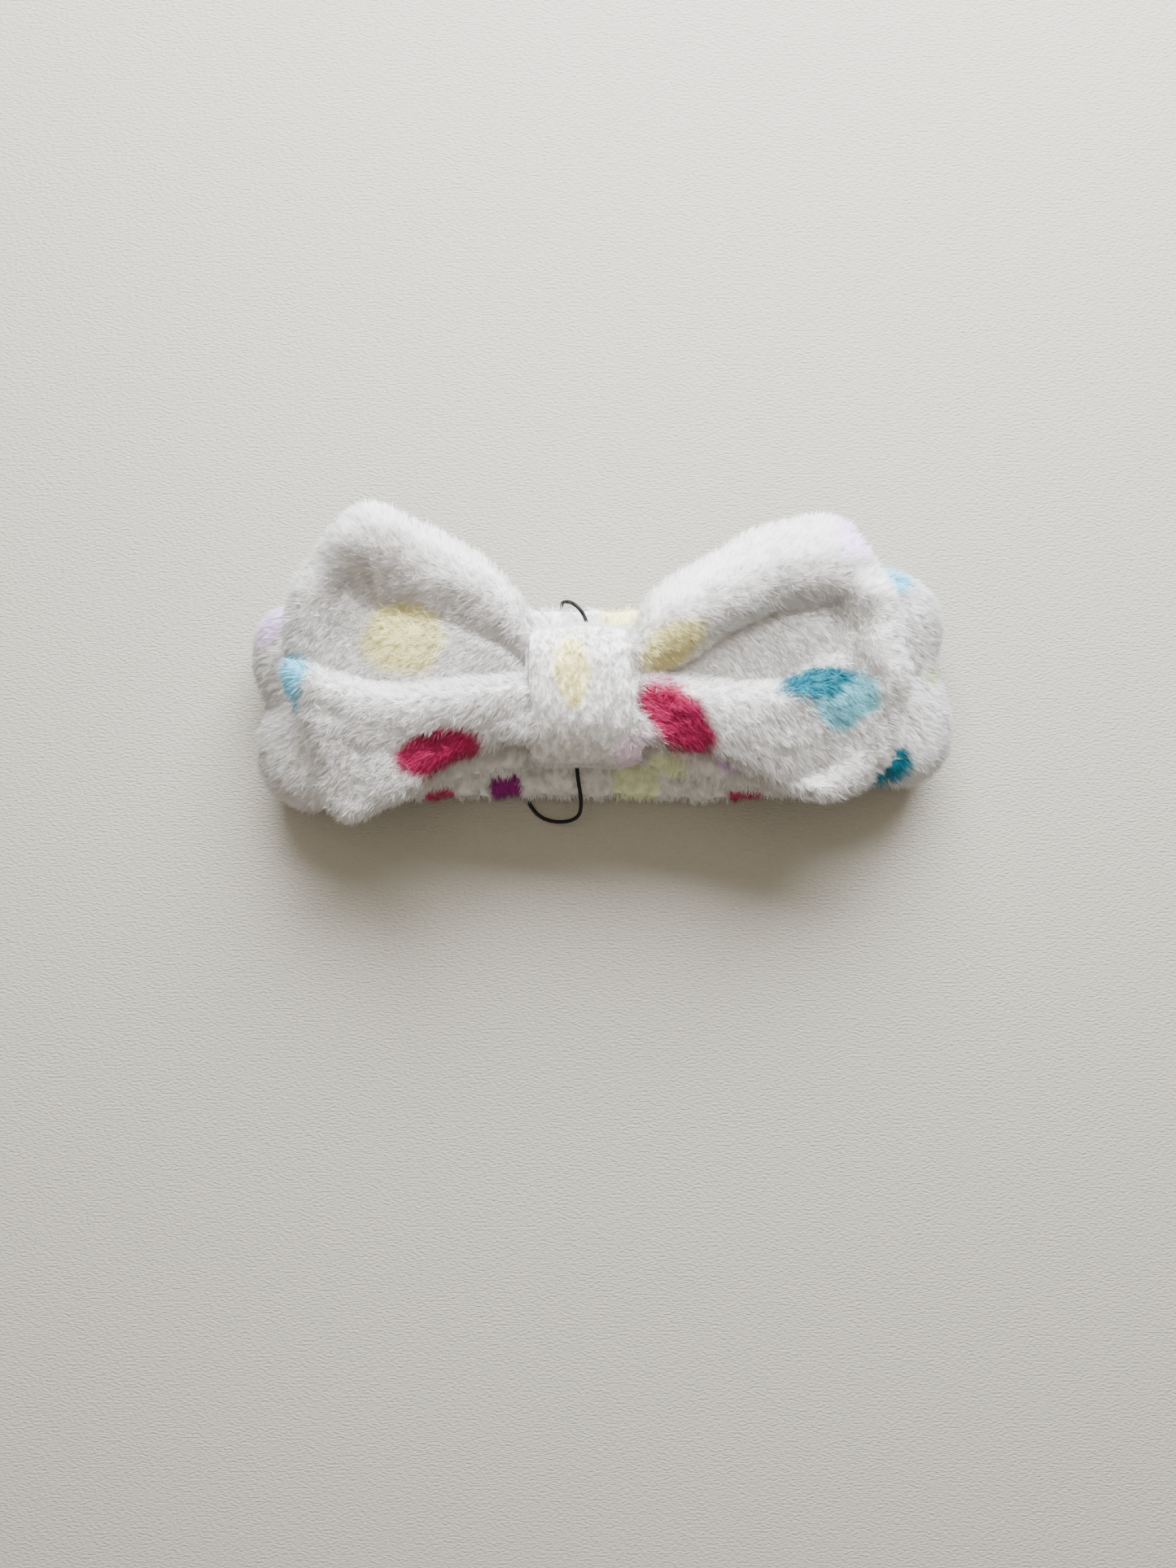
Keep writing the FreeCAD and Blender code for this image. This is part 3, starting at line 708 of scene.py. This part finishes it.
def knot_place(s, c):
    """s runs round the wrap in the YZ plane; c runs round the strap's own section."""
    half_y, half_z = WRAP_HALF_Y - WRAP_HALF_THICK, (WRAP_HIGH - WRAP_LOW) / 2 - WRAP_HALF_THICK - 0.6
    turn = 2 * math.pi * s
    y, z = (math.copysign(abs(part) ** (2 / WRAP_SQUARE), part)
            for part in (-math.sin(turn), math.cos(turn)))
    ny, nz = (math.copysign(abs(part) ** (WRAP_SQUARE - 1), part) / half
              for part, half in ((y, half_y), (z, half_z)))
    ny, nz = ny / math.hypot(ny, nz), nz / math.hypot(ny, nz)
    angle = 2 * math.pi * c
    side, lift = math.cos(angle), math.sin(angle)
    x = math.copysign(abs(side) ** 0.75, side)
    half = WRAP_HALF_THICK * math.copysign(abs(lift) ** 0.8, lift)
    crown = 0.9 * (1 - x * x) * max(0.0, nz) - 0.25 * abs(x) ** 3
    waist = 1 - 0.035 * max(0.0, nz) * math.cos(y * 1.4)
    fold = 0.35 * math.sin(x * 5.2 + 1.2 * y) * (1 - abs(nz) * 0.4)
    out = half + crown + fold
    z -= WRAP_SLOPE / half_z * min(0.0, y) ** 2 * max(0.0, nz)
    return Vector((KNOT.x / MM + x * WRAP_HALF_X * waist, KNOT.y / MM + y * half_y + ny * out,
                   (WRAP_HIGH + WRAP_LOW) / 2 + z * half_z + nz * out)) * MM


knot = skin("knot_cover", wrapped((120, 48), knot_place))
fill(knot, voxel=1.3 * MM, cap=0.5 * MM)
finish_skin(knot)
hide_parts("knot_wrap")


def knot_comb(centre, normal):
    """The knot's pile runs down its face and curls a little to the right."""
    out = np.zeros_like(centre)
    out[:, 1] = -1.0
    out[:, 0] = 0.25
    out[:, 2] = 0.6 * np.sign(centre[:, 1] - KNOT.y)
    return out


knot_pile = pile("knot_pile", knot, 65000, 1.4 * MM, knot_comb, 31, lay=0.7, clump=0.35,
                 ruffle=0.08)
for piece in (knot, knot_pile):
    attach(piece, "front")

# ------------------------------------------------------------------ bow wings
# Each wing is two plush cloths sewn face to face, turned out and lightly puffed, then gathered
# into the knot, so that it cups: a rolled upper rim, a hollow, a deep crease and a lower lobe.
WING_HALF_THICK = 2.3


class Wing:
    """The lines that shape one wing, in mm from the knot's middle, with x counted outward."""

    def __init__(self, side, upper, lower, outer, height):
        self.side, self.upper, self.lower = side, upper, lower
        self.outer, self.height = outer, height


def along(points, t):
    """Places on a smooth line through the points; t runs from 0 to 1 by length."""
    points = np.array(points, float)
    step = np.concatenate([[0], np.cumsum(np.linalg.norm(np.diff(points, axis=0), axis=1))])
    step /= step[-1]
    last = len(points) - 1
    k = np.clip(np.searchsorted(step, t, side="right") - 1, 0, last - 1)
    low, high = np.maximum(k - 1, 0), np.minimum(k + 2, last)
    span = (step[k + 1] - step[k])[:, None]
    u = (t - step[k])[:, None] / span
    way_0 = (points[k + 1] - points[low]) / (step[k + 1] - step[low])[:, None] * span
    way_1 = (points[high] - points[k]) / (step[high] - step[k])[:, None] * span
    return ((2 * u ** 3 - 3 * u ** 2 + 1) * points[k] + (u ** 3 - 2 * u ** 2 + u) * way_0
            + (3 * u ** 2 - 2 * u ** 3) * points[k + 1] + (u ** 3 - u ** 2) * way_1)


def left_height(x, y, from_top, from_end):
    """The left wing's form: ridge, valley and flap below the crease, and a deep bowl above it."""
    t = y - np.interp(x, (17, 34, 53, 64, 72, 79, 88), (3.6, 1.8, -0.6, 1.0, 3.6, 7.6, 13))
    grown = smooth((x - 14) / 16)
    outward = smooth((x - 40) / 35)
    below = np.where(t < -5.0, bell(t + 5.0, 6.0), 1.0)
    ridge = np.where(t < -2.6, below, bell(t + 2.6, 1.9))
    flap = smooth((-t - 6) / 7) * (4.6 + 1.8 * outward) - 1.2 * bell(t + 12.6, 3.2) * grown
    flap -= np.clip((-t - 11) / 20, 0, 1.4) * 6.0 * outward
    across = np.clip(t / np.maximum(t + from_top, 1), 0, 1)
    bowl = np.interp(x, (15, 30, 45, 58, 70), (3, 6, 11, 15.5, 14)) * (
        0.35 * across + 0.65 * smooth((across - 0.52) / 0.3))
    rim_end = np.interp(y, (-4, 5, 15, 30, 45), (0, 3, 7, 9.5, 10)) * (
        1 - smooth((from_end - 4) / 18)) * smooth((t + 1) / 6)
    z = 37.4 + (5.4 + 3.4 * grown) * ridge + flap + (bowl ** 2.2 + rim_end ** 2.2) ** (1 / 2.2)
    z -= 3.6 * bell(np.hypot(x - 50, y - 28), 10)
    z += 3.0 * (1 - grown)
    z += 2.4 * (1 - smooth(from_end / 11)) * smooth((-t - 9) / 6)
    z -= 2.4 * (1 - np.clip(from_top / 5, 0, 1)) ** 2
    return z - 2 * (1 - np.clip(from_end / 5, 0, 1)) ** 2


def right_height(x, y, from_top, from_end):
    """The right wing's form: a fat rolled rim over a broad flat dish, and one full lower lobe."""
    t = y - np.interp(x, (16, 29, 43, 57, 65, 72, 92), (5.2, 2.4, -0.4, 0.4, 2.6, 5.0, 9))
    q = y - np.interp(x, (15, 29, 36, 50, 61, 78, 92), (6.5, 13.2, 19.0, 25.6, 27.6, 29, 27))
    grown = smooth((x - 14) / 16)
    fading = 1 - smooth((x - 56) / 24)
    soft = smooth((x - 54) / 28)
    lobe = np.where(t < -2.2, 1, bell(t + 2.2, 2.0 + 9 * (1 - fading)))
    z = 38.0 + (4.6 + 3.4 * grown) * lobe * (0.6 + 0.4 * fading)
    z -= np.clip((-t - 5) / 20, 0, 1.5) * (3 + 4 * grown) * grown
    z += 3.0 * smooth(t / 25) * grown
    across = np.clip(q / np.maximum(q + from_top, 1), 0, 1)
    round_roll = np.where(across < 0.45, np.sqrt(np.clip(across * (0.9 - across), 0, 1)) / 0.45, 1)
    roll = round_roll * (1 - soft) + smooth((q + 4) / 14) * soft
    z += roll * (6.0 + 3.5 * grown) - 3.5 * smooth((across - 0.5) / 0.5) * grown
    rim_end = 1 - smooth((from_end - 2) / 13)
    z += rim_end * (5.5 + 3.5 * smooth((y + 4) / 22)) * (1 - smooth((q + 2) / 8))
    z += 3.0 * (1 - grown)
    z -= 2.4 * (1 - np.clip(from_top / 5, 0, 1)) ** 2
    return z - 1.2 * (1 - np.clip(from_end / 4, 0, 1)) ** 2


LEFT = Wing(
    -1,
    upper=[(13, 13.5), (16.8, 19), (19.5, 25.5), (28, 35), (38, 40.8), (48, 45.4), (58, 48.2)],
    lower=[(13, -12.6), (20, -11.8), (29, -14), (37, -16.5), (43, -20), (50, -26.5), (58, -30.4),
           (66, -34.4)],
    outer=[(66, -34.4), (71.4, -32), (74.6, -25.5), (76, -16), (79, -6), (82, 1), (84, 9), (84, 17),
           (82.5, 25), (79.5, 32), (73.5, 38.6), (67.5, 44.6), (62.5, 48.4), (58, 48.2)],
    height=left_height)
RIGHT = Wing(
    1,
    upper=[(13, 13.5), (16.8, 19), (19.5, 25.5), (27, 31.4), (37, 37.2), (46, 42.8), (56, 45.6),
           (65, 47.4)],
    lower=[(13, -12.6), (19, -12), (25, -13.8), (36, -14.4), (43, -17.6), (53, -23.4), (61, -26.2),
           (67, -27.2)],
    outer=[(67, -27.2), (76, -25.6), (82.5, -21), (87.4, -13), (87.6, -6), (89.6, 4), (86.4, 14),
           (86, 24), (81, 34.2), (76, 41), (71, 46), (65, 47.4)],
    height=right_height)


def wing_places(wing, u, v):
    """Places on a patch between the wing's four edges, each lifted to its height."""
    low, high, outer = along(wing.lower, u), along(wing.upper, u), along(wing.outer, v)
    u, v = u[:, None], v[:, None]
    corner = {key: np.array(line[end], float) for key, line, end in (
        ("low_in", wing.lower, 0), ("low_out", wing.lower, -1),
        ("high_in", wing.upper, 0), ("high_out", wing.upper, -1))}
    root = corner["low_in"] * (1 - v) + corner["high_in"] * v
    flat = ((corner["low_in"] * (1 - v) + corner["high_in"] * v) * (1 - u)
            + (corner["low_out"] * (1 - v) + corner["high_out"] * v) * u)
    x, y = (low * (1 - v) + high * v + root * (1 - u) + outer * u - flat).T
    from_top = (1 - v[:, 0]) * np.linalg.norm(high - low, axis=1)
    from_end = (1 - u[:, 0]) * np.linalg.norm(outer - root, axis=1)
    z = wing.height(x, y, from_top, from_end)
    return np.stack([KNOT.x / MM + wing.side * x, KNOT.y / MM + y, z], 1)


def wing_skin(name, wing, across=110, out=96):
    """Two layers of the patch, held apart by the padding and closed round their edge."""
    step = 0.004
    bm = bmesh.new()
    bmesh.ops.create_grid(bm, x_segments=out, y_segments=across, size=0.5)
    top = bm.verts[:]
    u, v = np.clip(np.array([vert.co[:2] for vert in top]).T + 0.5, 0, 1)
    middle = wing_places(wing, u, v)
    du = wing_places(wing, np.minimum(u + step, 1), v) - wing_places(wing, np.maximum(u - step, 0), v)
    dv = wing_places(wing, u, np.minimum(v + step, 1)) - wing_places(wing, u, np.maximum(v - step, 0))
    normal = np.cross(du, dv) * wing.side
    normal /= np.linalg.norm(normal, axis=1, keepdims=True)
    edge = np.minimum(np.minimum(v, 1 - v), 1 - u) * 12
    fat = np.sqrt(1 - (1 - np.minimum(1.0, edge)) ** 2)
    padding = (WING_HALF_THICK * (0.4 + 0.6 * fat))[:, None]
    copy = bmesh.ops.duplicate(bm, geom=top + bm.edges[:] + bm.faces[:])
    twin = copy["vert_map"]
    for vert, over, under in zip(top, middle + normal * padding, middle - normal * padding):
        vert.co = Vector(over) * MM
        twin[vert].co = Vector(under) * MM
    rims = [e for e in bm.edges if e.is_boundary]
    bmesh.ops.bridge_loops(bm, edges=rims)
    return skin(name, bm)


def wing_comb(wing):
    def comb(centre, normal):
        """The pile is brushed outward and down, and stands away from the rims."""
        out = np.zeros_like(centre)
        rel = (centre - np.array(KNOT)) / MM
        out[:, 0] = wing.side * 0.55
        out[:, 1] = 0.9 * smooth((rel[:, 1] - 12) / 30) - 0.5 + 0.2 * np.sin(rel[:, 0] * 0.09)
        out[:, 2] = -0.2
        return out
    return comb


for name, wing in (("left", LEFT), ("right", RIGHT)):
    cover = wing_skin(f"wing_{name}_cover", wing)
    fill(cover, voxel=1.3 * MM, cap=1.0 * MM)
    finish_skin(cover)
    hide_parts(f"wing_{name}_front", f"wing_{name}_back", f"wing_{name}_seam")
    seed = 41 if wing is LEFT else 51
    shown = pile(f"wing_{name}_pile_face", cover, 65000, PILE_LENGTH, wing_comb(wing), seed,
                 keep=lambda p, n: n[:, 2] > -0.25)
    back = pile(f"wing_{name}_pile_back", cover, 32000, PILE_LENGTH, wing_comb(wing), seed + 1,
                keep=lambda p, n: n[:, 2] <= -0.25)
    for piece in (cover, shown, back):
        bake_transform(piece)
